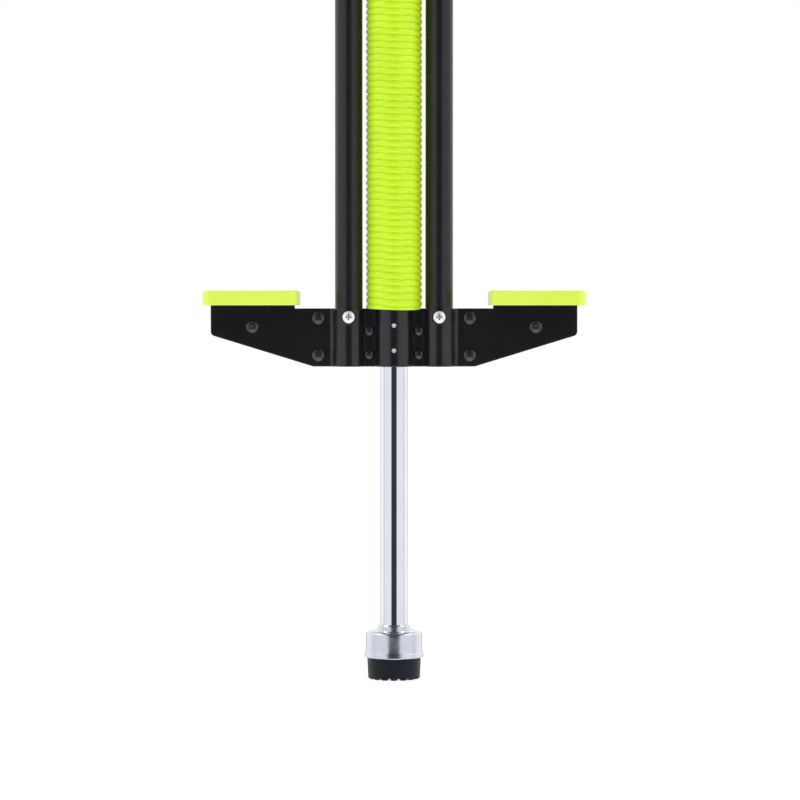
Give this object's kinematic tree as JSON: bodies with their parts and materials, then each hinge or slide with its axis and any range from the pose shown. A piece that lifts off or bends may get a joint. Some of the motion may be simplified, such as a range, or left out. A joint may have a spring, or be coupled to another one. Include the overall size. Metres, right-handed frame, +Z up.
{
  "type": "pogo stick",
  "caption": "Spring pogo stick with bent tube handlebar, grips, footrest bracket with pads, ribbed spring cover and sliding piston on a rubber-tipped foot.",
  "frame": {"origin": "bottom centre of the rubber tip, with the piston fully out", "axes": "+Z up along the piston, X from foot pad to foot pad, Y across the depth; the screw heads face -Y"},
  "size_m": [0.4, 0.076, 0.965],
  "materials": {
    "frame_paint": "gloss",
    "bracket_paint": "gloss",
    "rivet_paint": "gloss",
    "zinc_steel": "satin",
    "bushing_nylon": "satin",
    "black_plastic": "matte",
    "black_rubber": "matte",
    "lime_cover": "satin",
    "lime_pad": "satin",
    "lime_grip": "matte",
    "spring_steel": "oiled",
    "chrome_plate": "polished"
  },
  "bodies": {
    "frame": {"left_frame_tube": "frame_paint", "right_frame_tube": "frame_paint", "left_tube_plug": "black_plastic", "right_tube_plug": "black_plastic", "left_grip": "lime_grip", "right_grip": "lime_grip", "lower_bracket_front": "bracket_paint", "lower_bracket_rear": "bracket_paint", "lower_bracket_rivets": "rivet_paint", "wing_rivets": "rivet_paint", "lower_screws": "zinc_steel", "lower_nuts": "zinc_steel", "left_foot_pad": "lime_pad", "right_foot_pad": "lime_pad", "upper_bracket_front": "bracket_paint", "upper_bracket_rear": "bracket_paint", "upper_bracket_rivets": "rivet_paint", "upper_screws": "zinc_steel", "upper_nuts": "zinc_steel", "guide_rod_bolt": "zinc_steel", "spring_cover": "lime_cover", "piston_bushing": "bushing_nylon", "bushing_pins": "zinc_steel", "rebound_bumper": "black_rubber", "upper_spring_seat": "bushing_nylon", "guide_rod": "spring_steel", "guide_rod_sleeve": "bushing_nylon", "main_spring": "spring_steel"},
    "carriage": {"thrust_washer": "zinc_steel"},
    "piston": {"piston_tube": "chrome_plate", "piston_top_bush": "bushing_nylon", "lower_spring_seat": "zinc_steel", "seat_pin": "zinc_steel", "foot_cup": "chrome_plate", "foot_tip": "black_rubber", "tip_washer": "zinc_steel"}
  },
  "joints": [
    {"name": "piston_slide", "type": "slide", "parent": "frame", "child": "carriage", "axis": [0, 0, 1], "range_m": [0, 0.15], "stiffness_N_per_m": 6000, "springref_m": -0.025, "deforming": ["main_spring"]},
    {"name": "piston_spin", "type": "hinge", "parent": "carriage", "child": "piston", "pos_m": [0, 0, 0.356], "axis": [0, 0, 1], "continuous": true}
  ]
}
